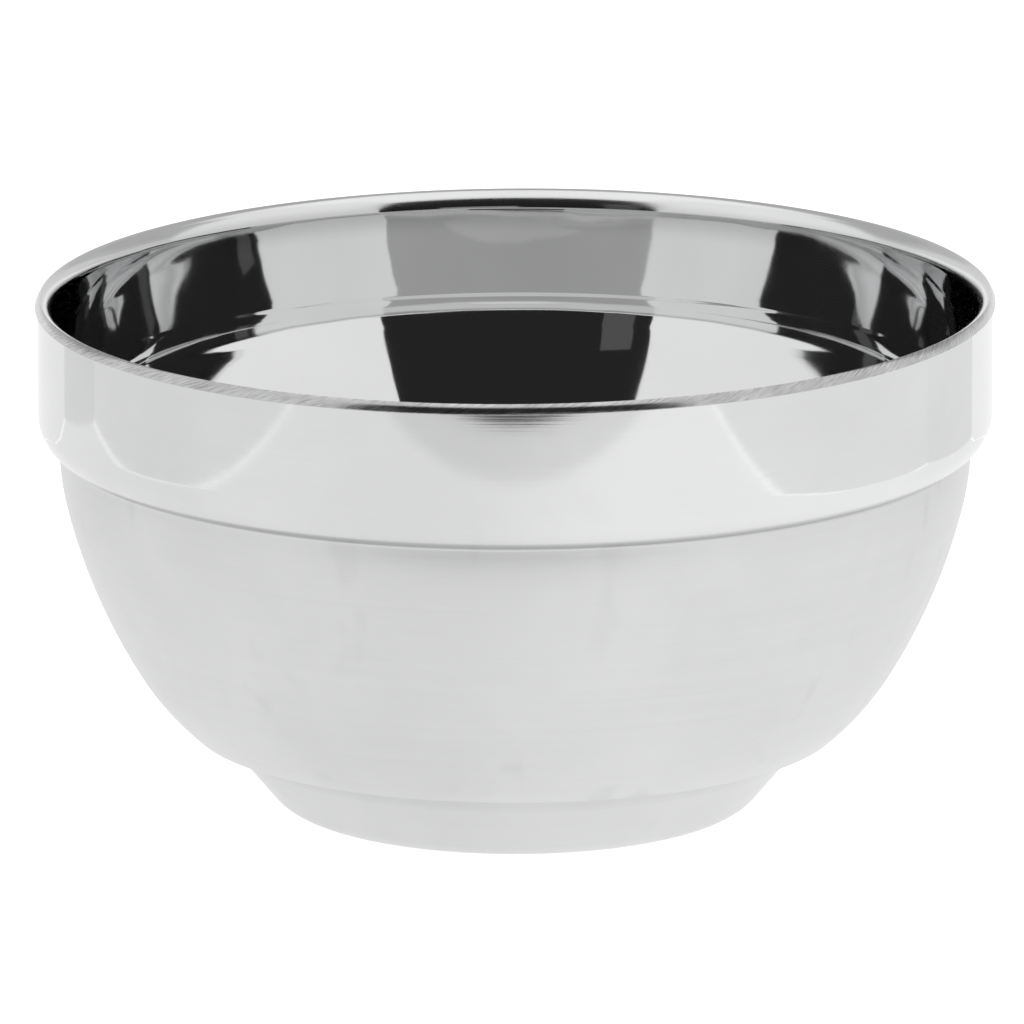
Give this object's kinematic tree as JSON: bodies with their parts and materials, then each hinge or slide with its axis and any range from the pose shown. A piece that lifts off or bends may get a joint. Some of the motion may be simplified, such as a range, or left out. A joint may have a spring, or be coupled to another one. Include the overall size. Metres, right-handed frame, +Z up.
{
  "type": "shaving bowl",
  "caption": "Round double-walled steel bowl with a stepped upper band, a flared ground rim and a tapered foot, for whipping shaving lather.",
  "frame": {"origin": "centre of the flat ring that the bowl stands on", "axes": "+Z up along the bowl's axis of symmetry, out of its mouth"},
  "size_m": [0.115, 0.115, 0.0625],
  "materials": {
    "satin_steel": "satin buffed around the belly, brighter on the band",
    "mirror_steel": "mirror polished",
    "ground_steel": "ground with coarse slanting scratches",
    "base_steel": "turned with fine rings",
    "weld_steel": "rippled weld bead"
  },
  "bodies": {
    "root": {"outer_shell": "satin_steel", "inner_shell": "mirror_steel", "rim_weld": "ground_steel", "base_cap": "base_steel", "base_weld": "weld_steel"}
  },
  "joints": []
}
